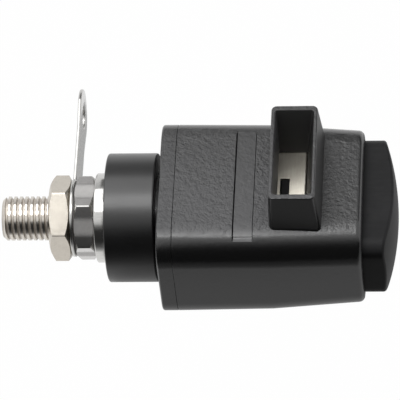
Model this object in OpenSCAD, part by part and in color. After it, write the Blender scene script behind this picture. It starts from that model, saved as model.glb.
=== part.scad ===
// Quick pressure clamp terminal for a panel.
// X runs along the stud, from the thread to the push button, and X = 0 is the panel face.
// Z points out of the wide face that carries the wire funnel, and Y runs across that face.

/* [Body] */
// Width of the housing and the base plate across the wide face
body_w = 22.9; // [21:0.1:26]
// Thickness of the housing and the base plate
body_h = 16.7; // [15.9:0.1:19]
// Length from the panel face to the button end of the housing
body_len = 26.9; // [25:0.1:32]
// Radius of the four long corners
corner_r = 4.5; // [3.5:0.1:5.2]
// Side wall of the housing beside the base plate
side_wall_t = 1.75; // [1.6:0.05:2.4]
// Wall of the housing's two wide faces beside the base plate
face_wall_t = 2.8; // [2.6:0.05:3.5]
// Thickness of the base plate
base_t = 2.1; // [1.6:0.1:3]
// Distance from the panel face to the start of the taper
taper_start = 14.7; // [12:0.1:18]
// Draft of the housing's outer sides
draft_deg = 0.5; // [0:0.1:1]
// Side wall of the housing at the button end
side_wall_end_t = 0.95; // [0.8:0.05:1.4]
// Wall of the housing's two wide faces at the button end
face_wall_end_t = 2.15; // [1.6:0.05:2.45]
// Rounding of the outer edge at the button end
end_r = 0.7; // [0.3:0.05:0.75]
// Rounding of the base plate along the panel
panel_edge_r = 0.3; // [0.1:0.05:0.6]
// Chamfer on both sides of the seam between base plate and housing
seam_c = 0.12; // [0.05:0.01:0.25]
// Width of the plain band across the wide face
band_w = 2.75; // [1.5:0.05:3.5]
// Distance between the band and the foot of the funnel
band_gap = 2.1; // [0.5:0.05:3]
// Depth of the band
band_depth = 0.15; // [0.05:0.05:0.3]

/* [Wire funnel] */
// Height of the funnel above the wide face
funnel_rise = 5.75; // [4:0.05:9]
// Outer length of the mouth across the body
mouth_w = 15.4; // [13:0.1:16.5]
// Wall of the mouth on its two long sides
rim_side = 0.5; // [0.4:0.05:0.8]
// Wall of the mouth at its two ends
rim_end = 0.8; // [0.6:0.05:1.2]
// How much the mouth widens on the side of the fixed jaw
mouth_flare = 1.2; // [0.3:0.05:1.6]
// How much the passage narrows at each end, from mouth to housing
end_flare = 0.4; // [0.1:0.05:0.6]
// Slope of the funnel's outer wall on the side of the base plate
funnel_base_deg = 1.9; // [0:0.1:4]
// Slope of the funnel's outer wall on the side of the button
funnel_button_deg = 5.2; // [0:0.1:8]
// Slope of the funnel's outer walls at its two ends
funnel_end_deg = 4.3; // [0:0.1:8]
// Corner radius of the funnel outside
funnel_r = 0.7; // [0.5:0.05:1.2]
// Rounding of the funnel's rim
rim_r = 0.2; // [0.05:0.05:0.3]

/* [Clamp] */
// Travel of the button, which is how far the clamp opens
stroke = 3.8; // [3:0.1:4.2]
// Distance from the fixed jaw's face to the button end of the housing
jaw_inset = 7.45; // [6.8:0.05:7.8]
// Thickness of the fixed jaw
jaw_t = 2.8; // [2:0.1:3.4]
// Thickness of the stirrup's sheet metal
sheet_t = 0.5; // [0.4:0.05:1]
// Inner radius of the stirrup's bends
bend_inner_r = 0.1; // [0.05:0.05:0.5]
// Length of the stirrup's legs
leg_len = 7; // [5.8:0.1:8]
// How far the stirrup reaches past each end of the funnel's passage
stirrup_lap = 0.2; // [0.1:0.05:0.6]
// Length of the stirrup's windows along the stud
window_len = 1.25; // [1:0.05:1.8]
// Width of the stirrup's windows
window_w = 4.5; // [4:0.1:5.4]
// Distance from the clamping face back to the middle of the windows
window_back = 2.9; // [2.5:0.05:4]
// Wire diameter of the spring
wire_d = 0.7; // [0.5:0.05:0.8]
// Turns of the spring
spring_turns = 8; // [6:1:10]

/* [Button] */
// Height of the dome above the housing
button_rise = 4.5; // [4.4:0.1:6]
// Radius of the dome
dome_r = 32; // [26:1:60]
// Corner radius of the button
button_r = 2.2; // [1.5:0.1:2.6]
// Clearance all round the button in the housing
button_gap = 0.12; // [0.08:0.01:0.2]
// Side wall of the button
button_wall = 1.2; // [1:0.05:1.4]
// Thickness of the button's end at its corners
cap_t = 1.3; // [1:0.05:1.6]
// How deep the arms' catches sit below the stirrup's face
catch_drop = 0.3; // [0.05:0.05:0.4]

/* [Stud] */
// Nominal thread diameter
thread_d = 6; // [5:1:6]
// Thread pitch
thread_pitch = 0.75; // [0.5:0.05:1]
// Free thread beyond the outer nut
stud_free = 6.5; // [4:0.1:12]
// Chamfer of the stud's tip
tip_c = 0.5; // [0.2:0.05:0.8]
// Side of the square flange that seats in the base plate
flange_side = 8.4; // [7:0.1:9]
// Thickness of the square flange
flange_t = 1.6; // [1:0.1:2]
// Thickness of the plug under the flange
plug_floor = 0.6; // [0.4:0.05:1.2]
// Diameter of the smooth shank inside the housing
shank_d = 4; // [3.4:0.1:4.2]
// Diameter of the rivet end that holds the fixed jaw
rivet_d = 3; // [2.4:0.1:3.2]
// Height of the rivet head
rivet_head_t = 0.7; // [0.4:0.05:0.8]
// How far the rivet head reaches past its hole
rivet_lip = 0.5; // [0.3:0.05:0.7]

/* [Panel hardware] */
// How far the insulating collar stands proud of the housing's wide faces
collar_proud = 0.25; // [0:0.05:1.5]
// Length of the insulating collar
collar_len = 6.65; // [5:0.05:10]
// Floor of the insulating collar, which bears on the spigot
collar_floor = 1.2; // [0.8:0.05:2]
// Rounding of the collar's edge at the panel
collar_front_r = 0.25; // [0.1:0.05:0.8]
// Rounding of the collar's edge at the washer
collar_back_r = 0.2; // [0.1:0.05:0.8]
// Gap between the collar and the base plate, which is the thinnest panel
panel_gap = 0.55; // [0.3:0.05:3]
// Diameter of the base plate's spigot
spigot_d = 11.8; // [9:0.1:12.5]
// Outer diameter of the washer
washer_d = 12; // [11:0.5:16]
// Thickness of the washer
washer_t = 1.6; // [1:0.1:2]
// Rounding of the washer's edges
washer_edge_r = 0.2; // [0.05:0.05:0.4]
// Width across flats of both nuts
nut_af = 10; // [10:1:11]
// Thickness of both nuts
nut_t = 2.85; // [2:0.05:5]
// Turn of the panel nut about the stud
panel_nut_deg = 51; // [0:1:60]
// Turn of the outer nut about the stud
lug_nut_deg = 31; // [0:1:60]

/* [Solder lug] */
// Sheet thickness of the lug
lug_t = 0.45; // [0.3:0.05:0.8]
// Outer diameter of the lug's ring
lug_ring_d = 10.4; // [9:0.1:12]
// Distance from the stud to the eye
lug_reach = 16.7; // [13:0.1:20]
// Outer diameter of the eye
eye_d = 7.6; // [6:0.1:9]
// Diameter of the solder hole
eye_hole_d = 3.1; // [2:0.1:4]
// Width of the lug's neck beside the ring
neck_w = 5.8; // [4:0.1:6]
// Turn of the lug about the stud, from the Y axis
lug_deg = 2; // [-30:1:60]

/* [Clearances] */
// Play of the stud in the nuts and of the rivet in its hole, on the radius
thread_play = 0.025; // [0.01:0.005:0.05]
// Play round the stud and the spigot, on the radius
stud_clear = 0.2; // [0.1:0.05:0.4]
// Play of the plug and of the stud's flange in their seats
seat_clear = 0.05; // [0.02:0.01:0.1]
// Play between the sliding stirrup and the housing, the arms and the catches
slide_clear = 0.1; // [0.05:0.01:0.15]
// Gap between the clamp's faces when shut
jaw_clear = 0.05; // [0.02:0.01:0.1]
// Play of the shank in the stirrup, and of the spring on the shank
shank_clear = 0.2; // [0.1:0.05:0.25]
// Gap round the arms and between the fixed jaw and the button
arm_clear = 0.3; // [0.2:0.05:0.35]
// Width of the passage beyond the clamp's opening
passage_play = 0.1; // [0.05:0.05:0.5]

/* [Hidden] */

$fn = 64;
arc_steps = 8;
dome_fn = 128;
cut = 1;

// Cavity of the housing, and the button that slides in it
cavity_w = body_w - 2 * side_wall_t;
cavity_h = body_h - 2 * face_wall_t;
cavity_r = button_r + button_gap;
button_w = cavity_w - 2 * button_gap;
button_h = cavity_h - 2 * button_gap;

// Stations along the stud, from the panel face to the button
plug_t = flange_t + plug_floor;
x_seat = base_t + plug_t;
x_jaw = body_len - jaw_inset;
x_web = x_jaw - jaw_clear;
x_skirt = x_jaw + stroke + slide_clear;
x_apex = body_len + button_rise;
dome_sag = dome_r - sqrt(pow(dome_r, 2) - pow(button_w / 2, 2) - pow(button_h / 2, 2));
x_cap = x_apex - dome_sag - cap_t;
x_window = x_web - window_back;

// Collar, washer, lug and nuts behind the panel face
collar_d = body_h + 2 * collar_proud;
x_collar = -panel_gap - collar_len;
x_washer = x_collar - washer_t;
x_panel_nut = x_washer - nut_t;
x_lug = x_panel_nut - lug_t;
x_lug_nut = x_lug - nut_t;
x_tip = x_lug_nut - stud_free;
x_spigot = x_collar + collar_floor;

// Thread radii: the free end at its crests, the engaged stretch at the pitch diameter
pitch_share = 0.325;
crest_r = thread_d / 2 - thread_play;
pitch_r = thread_d / 2 - pitch_share * thread_pitch;

// Funnel
passage_x0 = x_jaw - stroke - passage_play;
mouth_x0 = passage_x0 - rim_side;
mouth_x1 = x_jaw + mouth_flare + rim_side;
mouth_z = body_h / 2 + funnel_rise;
passage_w = mouth_w - 2 * (rim_end + end_flare);
band_x1 = mouth_x0 - funnel_rise * tan(funnel_base_deg) - band_gap;
band_x0 = band_x1 - band_w;

// Stirrup, arms and fixed jaw
stirrup_h = cavity_h - 2 * slide_clear;
stirrup_w = passage_w + 2 * stirrup_lap;
bend_r = sheet_t + bend_inner_r;
spring_r = shank_d / 2 + shank_clear + wire_d / 2;
arm_w = window_w - 2 * slide_clear;
arm_top = stirrup_h / 2 - sheet_t - seat_clear;
arm_bottom = spring_r + wire_d / 2 + shank_clear;
catch_top = stirrup_h / 2 - catch_drop;
catch_c = sheet_t / 3;
jaw_w = button_w - 2 * (button_wall + arm_clear);
jaw_h = button_h - 2 * (button_wall + arm_clear);
jaw_r = button_r / 2;

// Spring, with its end turns this many wires apart
spring_sides = 8;
steps_per_turn = 20;
end_turn_share = 1.1;

// Nuts: their bearing faces as a share of the width across flats, and the slope of their chamfers
nut_face_share = 0.95;
nut_chamfer_deg = 30;

plastic_black = [0.13, 0.13, 0.14];
button_black = [0.09, 0.09, 0.10];
bright_nickel = [0.80, 0.78, 0.74];
satin_nickel = [0.74, 0.71, 0.65];
tin = [0.85, 0.85, 0.84];
spring_steel = [0.60, 0.60, 0.62];

// Turns a shape drawn upright so that it stands along X
module along_x(x) {
    translate([x, 0, 0]) rotate([90, 0, 90]) children();
}

module rounded_rect(w, h, r) {
    square([w - 2 * r, h], center = true);
    square([w, h - 2 * r], center = true);
    for (sx = [-1, 1], sy = [-1, 1])
        translate([sx * (w / 2 - r), sy * (h / 2 - r)]) circle(r);
}

// Corner points of a rounded rectangle, corner by corner
function outline(w, h, r) = [
    for (q = [0 : 3], i = [0 : arc_steps])
        let (
            a = 90 * (q + i / arc_steps),
            sx = q == 0 || q == 3 ? 1 : -1,
            sy = q < 2 ? 1 : -1
        )
            [sx * (w / 2 - r) + r * cos(a), sy * (h / 2 - r) + r * sin(a)]
];

// How far the draft has drawn a side in at x
function draft_at(x) = max(0, x - base_t) * tan(draft_deg);

// How far a side has drawn in at x, when its wall thins from wall to end_wall at the button end
function taper_at(x, wall, end_wall) =
    draft_at(min(x, taper_start))
    + max(0, x - taper_start) / (body_len - taper_start) * (wall - draft_at(taper_start) - end_wall);

// Section of the body at x, drawn in from its outline by inset
function body_ring(x, inset) =
    let (
        w = body_w - 2 * (taper_at(x, side_wall_t, side_wall_end_t) + inset),
        h = body_h - 2 * (taper_at(x, face_wall_t, face_wall_end_t) + inset)
    )
        [for (p = outline(w, h, corner_r - inset)) [x, p[0], p[1]]];

// Level section from x0 to x1 at height z
function level_ring(x0, x1, w, r, z) =
    [for (p = outline(x1 - x0, w, r)) [(x0 + x1) / 2 + p[0], p[1], z]];

// Section of the funnel at z, drawn in from its outline by inset
function funnel_ring(z, inset) =
    let (drop = mouth_z - z)
        level_ring(
            mouth_x0 - drop * tan(funnel_base_deg) + inset,
            mouth_x1 + drop * tan(funnel_button_deg) - inset,
            mouth_w + 2 * (drop * tan(funnel_end_deg) - inset),
            funnel_r - inset,
            z
        );

// Solid skin over a list of rings, each with the same number of points
module loft(rings) {
    n = len(rings[0]);
    top = (len(rings) - 1) * n;
    sides = [
        for (i = [0 : n : top - n], k = [0 : n - 1])
            let (m = (k + 1) % n)
                each [[i + k, i + n + k, i + n + m], [i + k, i + n + m, i + m]]
    ];
    start = [for (k = [0 : n - 1]) k];
    end = [for (k = [n - 1 : -1 : 0]) top + k];
    polyhedron([for (ring = rings) each ring], concat(sides, [start, end]), convexity = 10);
}

// Ring about X with its two outer edges rounded
module rounded_ring(r_in, r_out, len, edge0, edge1) {
    core_r = r_out - max(edge0, edge1);
    along_x(0) rotate_extrude() {
        translate([r_in, 0]) square([core_r - r_in, len]);
        translate([r_in, edge0]) square([r_out - r_in, len - edge0 - edge1]);
        translate([r_out - edge0, edge0]) circle(edge0);
        translate([r_out - edge1, len - edge1]) circle(edge1);
    }
}

module housing_shell() {
    loft(concat(
        [body_ring(base_t, seam_c), body_ring(base_t + seam_c, 0), body_ring(taper_start, 0)],
        [for (a = [0 : 22.5 : 90]) body_ring(body_len - end_r * (1 - sin(a)), end_r * (1 - cos(a)))]
    ));
}

// Funnel wall, from inside the housing's wall up to the rounded rim
module funnel_shell() {
    loft(concat(
        [funnel_ring(body_h / 2 - face_wall_t / 2, 0)],
        [for (a = [0 : 30 : 90]) funnel_ring(mouth_z - rim_r * (1 - sin(a)), rim_r * (1 - cos(a)))]
    ));
}

// Passage for the wire: straight on the base side, widening to the mouth on the jaw side
module wire_passage() {
    corner = funnel_r / 2;
    floor_z = cavity_h / 2;
    rise = (mouth_z - floor_z + cut) / (mouth_z - floor_z);
    top_x1 = x_jaw + rise * mouth_flare;
    top_w = passage_w + 2 * rise * end_flare;
    loft([
        level_ring(passage_x0, x_jaw, passage_w, corner, floor_z - cut),
        level_ring(passage_x0, x_jaw, passage_w, corner, floor_z),
        level_ring(passage_x0, top_x1, top_w, corner, mouth_z + cut)
    ]);
}

module housing() {
    color(plastic_black) difference() {
        union() {
            housing_shell();
            funnel_shell();
        }
        along_x(base_t - cut) linear_extrude(body_len + 2 * cut) rounded_rect(cavity_w, cavity_h, cavity_r);
        wire_passage();
        translate([band_x0, -body_w / 2, body_h / 2 - draft_at(band_x1) - band_depth])
            cube([band_w, body_w, cut]);
    }
}

module base_plate() {
    color(plastic_black) difference() {
        union() {
            loft(concat(
                [for (a = [0 : 30 : 90]) body_ring(panel_edge_r * (1 - cos(a)), panel_edge_r * (1 - sin(a)))],
                [body_ring(base_t - seam_c, 0), body_ring(base_t, seam_c)]
            ));
            along_x(base_t / 2) linear_extrude(base_t / 2 + plug_t)
                rounded_rect(cavity_w - 2 * seat_clear, cavity_h - 2 * seat_clear, cavity_r - seat_clear);
            along_x(x_spigot) cylinder(d = spigot_d, h = base_t - x_spigot);
        }
        along_x(x_spigot - cut) cylinder(d = thread_d + 2 * stud_clear, h = x_seat - x_spigot + 2 * cut);
        along_x(x_seat - flange_t) linear_extrude(flange_t + cut)
            square(flange_side + 2 * seat_clear, center = true);
    }
}

module button_arm() {
    x_catch = x_window - window_len / 2 + slide_clear;
    catch_len = window_len - 2 * slide_clear;
    translate([0, arm_w / 2, 0]) rotate([90, 0, 0]) linear_extrude(arm_w) polygon([
        [x_catch, arm_bottom],
        [x_cap, arm_bottom],
        [x_cap, arm_top],
        [x_catch + catch_len, arm_top],
        [x_catch + catch_len, catch_top],
        [x_catch + catch_c, catch_top],
        [x_catch, catch_top - catch_c]
    ]);
}

module push_button() {
    color(button_black) {
        difference() {
            intersection() {
                along_x(x_skirt) linear_extrude(x_apex - x_skirt) rounded_rect(button_w, button_h, button_r);
                translate([x_apex - dome_r, 0, 0]) sphere(dome_r, $fn = dome_fn);
            }
            along_x(x_skirt - cut) linear_extrude(x_cap - x_skirt + cut)
                rounded_rect(button_w - 2 * button_wall, button_h - 2 * button_wall, button_r - button_wall);
        }
        button_arm();
        mirror([0, 0, 1]) button_arm();
    }
}

// Section of the stirrup: two legs joined by a bent web
module stirrup_section() {
    difference() {
        intersection() {
            translate([x_web - leg_len, 0]) rounded_rect(2 * leg_len, stirrup_h, bend_r);
            translate([x_web - leg_len, -stirrup_h / 2]) square([leg_len, stirrup_h]);
        }
        translate([x_web - sheet_t - leg_len, 0])
            rounded_rect(2 * leg_len, stirrup_h - 2 * sheet_t, bend_r - sheet_t);
    }
}

module clamp_stirrup() {
    slot_bottom = arm_bottom - slide_clear;
    color(tin) difference() {
        translate([0, stirrup_w / 2, 0]) rotate([90, 0, 0]) linear_extrude(stirrup_w) stirrup_section();
        translate([x_window, 0, 0]) cube([window_len, window_w, body_h], center = true);
        for (s = [0, 1]) mirror([0, 0, s])
            translate([x_web - sheet_t - slide_clear, -window_w / 2, slot_bottom])
                cube([sheet_t + cut, window_w, stirrup_h / 2 - sheet_t - slot_bottom]);
        along_x(x_web - sheet_t - cut) cylinder(d = shank_d + 2 * shank_clear, h = sheet_t + 2 * cut);
    }
}

// Spring: wire centre line, with the first and last turn wound almost closed
spring_len = x_web - sheet_t - x_seat;
close_pitch = end_turn_share * wire_d;
open_pitch = (spring_len - wire_d - 2 * close_pitch) / (spring_turns - 2);
function spring_x(turn) =
    x_seat + wire_d / 2 + min(turn, 1) * close_pitch
    + max(0, min(turn, spring_turns - 1) - 1) * open_pitch + max(0, turn - spring_turns + 1) * close_pitch;
function spring_ring(turn) = [
    for (k = [0 : spring_sides - 1])
        let (b = k * 360 / spring_sides, r = spring_r + wire_d / 2 * cos(b), a = turn * 360)
            [spring_x(turn) + wire_d / 2 * sin(b), r * cos(a), r * sin(a)]
];

module clamp_spring() {
    color(spring_steel)
        loft([for (i = [0 : spring_turns * steps_per_turn]) spring_ring(i / steps_per_turn)]);
}

module contact_jaw() {
    notch_z = arm_bottom - arm_clear;
    color(bright_nickel) difference() {
        along_x(x_jaw) linear_extrude(jaw_t) difference() {
            rounded_rect(jaw_w, jaw_h, jaw_r);
            for (s = [-1, 1])
                translate([0, s * (notch_z + jaw_h / 2)])
                    square([arm_w + 2 * arm_clear, jaw_h], center = true);
        }
        along_x(x_jaw - cut) cylinder(d = rivet_d + 2 * thread_play, h = jaw_t + 2 * cut);
    }
}

module threaded_stud() {
    head_r = rivet_d / 2 + rivet_lip;
    x_head = x_jaw + jaw_t;
    color(bright_nickel) {
        along_x(0) rotate_extrude() polygon([
            [0, x_tip],
            [crest_r - tip_c, x_tip],
            [crest_r, x_tip + tip_c],
            [crest_r, x_lug_nut],
            [pitch_r, x_lug_nut],
            [pitch_r, x_seat - flange_t],
            [shank_d / 2, x_seat - flange_t],
            [shank_d / 2, x_jaw],
            [rivet_d / 2, x_jaw],
            [rivet_d / 2, x_head],
            [head_r, x_head],
            [head_r, x_head + rivet_head_t / 2],
            [head_r / 2, x_head + rivet_head_t],
            [0, x_head + rivet_head_t]
        ]);
        along_x(x_seat - flange_t) linear_extrude(flange_t) square(flange_side, center = true);
    }
}

module insulating_collar() {
    color(plastic_black) difference() {
        translate([x_collar, 0, 0])
            rounded_ring(thread_d / 2 + stud_clear, collar_d / 2, collar_len, collar_back_r, collar_front_r);
        along_x(x_spigot) cylinder(d = spigot_d + 2 * stud_clear, h = collar_len);
    }
}

module washer() {
    color(tin) translate([x_washer, 0, 0])
        rounded_ring(thread_d / 2 + stud_clear, washer_d / 2, washer_t, washer_edge_r, washer_edge_r);
}

// Hex nut with both ends chamfered
module hex_nut(deg) {
    corner = nut_af / sqrt(3);
    flat = nut_face_share * nut_af / 2;
    chamfer = (corner - flat) * tan(nut_chamfer_deg);
    rotate([deg, 0, 0]) along_x(0) difference() {
        intersection() {
            cylinder(r = corner, h = nut_t, $fn = 6);
            rotate_extrude() polygon([
                [0, 0],
                [flat, 0],
                [corner, chamfer],
                [corner, nut_t - chamfer],
                [flat, nut_t],
                [0, nut_t]
            ]);
        }
        translate([0, 0, -cut]) cylinder(r = pitch_r + thread_play, h = nut_t + 2 * cut);
    }
}

module panel_nut() {
    color(bright_nickel) translate([x_panel_nut, 0, 0]) hex_nut(panel_nut_deg);
}

module lug_nut() {
    color(satin_nickel) translate([x_lug_nut, 0, 0]) hex_nut(lug_nut_deg);
}

module solder_lug() {
    color(tin) rotate([lug_deg, 0, 0]) along_x(x_lug) difference() {
        linear_extrude(lug_t) {
            circle(d = lug_ring_d);
            translate([lug_reach, 0]) circle(d = eye_d);
            polygon([
                [0, -neck_w / 2],
                [lug_reach - eye_d / 2, -neck_w / 2],
                [lug_reach, -eye_d / 2],
                [lug_reach, eye_d / 2],
                [lug_reach - eye_d / 2, neck_w / 2],
                [0, neck_w / 2]
            ]);
        }
        translate([0, 0, -cut]) cylinder(r = thread_d / 2 + stud_clear, h = lug_t + 2 * cut);
        translate([lug_reach, 0, -cut]) cylinder(d = eye_hole_d, h = lug_t + 2 * cut);
    }
}

housing();
base_plate();
push_button();
clamp_stirrup();
clamp_spring();
contact_jaw();
threaded_stud();
insulating_collar();
washer();
panel_nut();
solder_lug();
lug_nut();
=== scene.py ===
"""Looks of a quick pressure clamp terminal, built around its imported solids."""

import math

import bmesh
import bpy
from bpy.props import FloatProperty, FloatVectorProperty, PointerProperty
from bpy.types import Operator, Panel, PropertyGroup
from mathutils import Matrix, Vector


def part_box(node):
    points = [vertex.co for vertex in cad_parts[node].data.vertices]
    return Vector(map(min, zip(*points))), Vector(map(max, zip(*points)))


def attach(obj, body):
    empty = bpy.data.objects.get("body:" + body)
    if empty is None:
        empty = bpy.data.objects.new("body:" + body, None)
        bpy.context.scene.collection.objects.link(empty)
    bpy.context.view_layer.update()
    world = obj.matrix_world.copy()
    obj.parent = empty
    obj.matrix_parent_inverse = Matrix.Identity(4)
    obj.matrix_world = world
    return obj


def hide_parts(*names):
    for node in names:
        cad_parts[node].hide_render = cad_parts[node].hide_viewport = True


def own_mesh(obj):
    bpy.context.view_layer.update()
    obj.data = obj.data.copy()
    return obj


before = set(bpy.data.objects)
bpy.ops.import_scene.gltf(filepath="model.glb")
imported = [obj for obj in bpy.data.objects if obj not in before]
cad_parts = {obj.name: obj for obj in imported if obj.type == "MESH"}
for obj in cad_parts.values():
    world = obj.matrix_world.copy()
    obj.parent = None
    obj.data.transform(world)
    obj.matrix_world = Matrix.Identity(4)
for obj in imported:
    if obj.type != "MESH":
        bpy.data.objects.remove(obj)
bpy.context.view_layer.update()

bl_info = {
    "name": "Quick pressure clamp terminal",
    "version": (1, 0, 0),
    "blender": (4, 5, 0),
    "location": "3D View > Sidebar > Terminal",
    "description": "Builds the pieces, finishes and studio of a panel terminal",
    "category": "Object",
}

MM = 0.001
QUARTER = math.pi / 2
TURN = 2 * math.pi
# Cutters reach this far past a face, and points nearer than the second value are one
CUT = 1 * MM
NEAREST = 1e-8
# Bore that clears the stud
CLEAR_R = 3.2 * MM


def low(node, axis):
    """Lowest coordinate of a CAD node on one axis."""
    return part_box(node)[0]["xyz".index(axis)]


def high(node, axis):
    """Highest coordinate of a CAD node on one axis."""
    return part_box(node)[1]["xyz".index(axis)]


def width_height(node):
    """Width and height of a CAD node that is centred on the stud."""
    return 2 * high(node, "y"), 2 * high(node, "z")


def ends(node):
    """Where a CAD node starts and ends along the stud."""
    return low(node, "x"), high(node, "x")


BODY_W, BODY_H = width_height("base_plate")
BUTTON_W, BUTTON_H = width_height("push_button")
STIRRUP_W, STIRRUP_H = width_height("clamp_stirrup")
JAW_W, JAW_H = width_height("contact_jaw")
X_SEAM, X_END = ends("housing")
X_SPIGOT, X_SEAT = ends("base_plate")
X_CATCH, X_APEX = ends("push_button")
X_LEG, X_WEB = ends("clamp_stirrup")
X_JAW, X_JAW_BACK = ends("contact_jaw")
X_TIP, X_RIVET = ends("threaded_stud")
X_COLLAR, X_COLLAR_FRONT = ends("insulating_collar")
X_WASHER = low("washer", "x")
X_PANEL_NUT = low("panel_nut", "x")
X_LUG = low("solder_lug", "x")
X_LUG_NUT = low("lug_nut", "x")
MOUTH_Z = high("housing", "z")
COLLAR_R = min(high("insulating_collar", "y"), -low("insulating_collar", "z"))
WASHER_R = high("washer", "y")


def length(name, description, millimetres):
    """A length property with its default in millimetres."""
    return FloatProperty(name=name, description=description, default=millimetres * MM, unit="LENGTH", precision=5)


def colour(name, description, value):
    """A colour property in linear light."""
    return FloatVectorProperty(name=name, description=description, default=value, subtype="COLOR", min=0, max=1)


def angle(name, description, degrees):
    """An angle property with its default in degrees."""
    return FloatProperty(name=name, description=description, default=math.radians(degrees), subtype="ANGLE")


class TerminalSizes(PropertyGroup):
    """Sizes of the mouldings and the metal parts that the solids' boxes don't give."""

    corner_r: length("Body corner", "Radius of the four long corners of the body", 4.5)
    taper_start: length("Taper start", "Distance from the panel face to the start of the taper", 14.7)
    draft: angle("Draft", "Slope of the housing's sides from the seam on", 0.5)
    side_taper: length("Side taper", "How far both sides draw in from the taper's start to the button end", 0.69)
    face_taper: length("Face taper", "How far both wide faces draw in from the taper's start to the button end", 0.54)
    end_r: length("End rounding", "Rounding of the housing's outer edge at the button", 0.7)
    panel_edge_r: length("Panel edge", "Rounding of the base plate along the panel", 0.3)
    seam_c: length("Seam", "Edge break on both sides of the seam", 0.12)
    band_x: length("Band start", "Start of the plain band on the wide face", 10.009)
    band_w: length("Band width", "Width of the plain band", 2.75)
    band_depth: length("Band depth", "Depth of the plain band", 0.15)
    groove_w: length("Groove width", "Width of the groove at the band's start, twice the other's", 0.24)
    groove_depth: length("Groove depth", "Depth of the grooves below the band", 0.35)
    mouth_w: length("Mouth width", "Outer length of the funnel's mouth across the body", 15.4)
    rim_side: length("Rim side", "Wall of the mouth on its long sides", 0.5)
    mouth_flare: length("Mouth flare", "How much the mouth widens on the jaw's side", 1.2)
    end_flare: length("End flare", "How much the passage widens at each end", 0.4)
    passage_len: length("Passage", "Length of the passage along the stud", 3.9)
    passage_w: length("Passage width", "Width of the passage across the body", 13.0)
    funnel_base: angle("Funnel base side", "Slope of the funnel's outer wall on the base plate's side", 1.9)
    funnel_button: angle("Funnel button side", "Slope of the funnel's outer wall on the button's side", 5.2)
    funnel_end: angle("Funnel ends", "Slope of the funnel's outer walls at its two ends", 4.3)
    funnel_r: length("Funnel corner", "Corner radius of the funnel outside", 0.7)
    rim_r: length("Rim rounding", "Rounding of the funnel's outer rim", 0.2)
    lip_r: length("Lip rounding", "Rounding of the inner edges of the mouth and the button's opening", 0.14)
    button_gap: length("Button gap", "Clearance round the button", 0.12)
    button_r: length("Button corner", "Corner radius of the button", 2.2)
    button_edge_r: length("Button edge", "Rounding between the button's sides and its dome", 0.45)
    dome_r: length("Dome", "Radius of the button's dome", 32)
    thread_pitch: length("Thread pitch", "Pitch of the stud's thread", 0.75)
    thread_r: length("Thread crest", "Radius of the stud's thread at its crests", 2.975)
    nut_af: length("Nut", "Width across flats of both nuts", 10)
    nut_edge_r: length("Nut edge", "Rounding of the nuts' corners", 0.12)
    panel_nut_turn: angle("Panel nut turn", "Turn of the panel nut about the stud", 51)
    lug_nut_turn: angle("Outer nut turn", "Turn of the outer nut about the stud", 31)
    lug_turn: angle("Lug turn", "Turn of the lug about the stud", 2)


class TerminalColours(PropertyGroup):
    """Colours of the finishes, in linear light."""

    housing: colour("Housing", "Moulded plastic of the housing and base plate", (0.004, 0.004, 0.0042))
    button: colour("Button", "Moulded plastic of the button", (0.025, 0.025, 0.026))
    collar: colour("Collar", "Moulded plastic of the collar", (0.005, 0.005, 0.0052))
    bright_nickel: colour("Bright nickel", "Plating of the stud and the jaw", (0.64, 0.60, 0.55))
    polished_nickel: colour("Polished nickel", "Plating of the panel nut", (0.52, 0.51, 0.50))
    satin_nickel: colour("Satin nickel", "Plating of the outer nut", (0.56, 0.52, 0.46))
    tin: colour("Tin", "Tinned sheet of the lug", (0.52, 0.515, 0.50))
    stirrup: colour("Stirrup", "Plated sheet of the stirrup", (0.98, 0.91, 0.79))
    washer: colour("Washer", "Plating of the washer", (0.58, 0.575, 0.56))
    spring: colour("Spring steel", "Wire of the spring", (0.42, 0.42, 0.43))
    floor: colour("Floor", "Pale floor", (0.8, 0.8, 0.8))


class TerminalStudio(PropertyGroup):
    """Camera and light."""

    elevation: angle("Camera elevation", "Height of the camera above the horizon", 53)
    side: angle("Camera side", "Turn of the camera towards the button", 4.95)
    roll: angle("Camera roll", "Rise of the stud's line to the right in the picture", 0.44)
    distance: length("Camera distance", "Distance from the aim point to the camera", 567)
    aim_along: length("Aim along", "Aim point along the stud", 4.9)
    aim_up: length("Aim up", "Aim point above the stud in the picture", 2.29)
    lens: FloatProperty(name="Lens", description="Focal length", default=382.5, unit="CAMERA")
    softbox: FloatProperty(name="Softbox", description="Radiance of the softbox overhead", default=4.1, min=0)
    panel: FloatProperty(name="Panel", description="Radiance of the dimmer panel behind it", default=1.62, min=0)
    fill: FloatProperty(name="Fill", description="Strength of the world's light", default=0.4, min=0)


class Value:
    """A socket of a shader tree that takes part in Python expressions."""

    def __init__(self, tree, socket):
        self.tree = tree
        self.socket = socket

    def _math(self, operation, first, second):
        return self.tree.node("ShaderNodeMath", {"operation": operation}, {0: first, 1: second})

    def __add__(self, other):
        return self._math("ADD", self, other)

    __radd__ = __add__

    def __sub__(self, other):
        return self._math("SUBTRACT", self, other)

    def __rsub__(self, other):
        return self._math("SUBTRACT", other, self)

    def __mul__(self, other):
        return self._math("MULTIPLY", self, other)

    __rmul__ = __mul__


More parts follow.
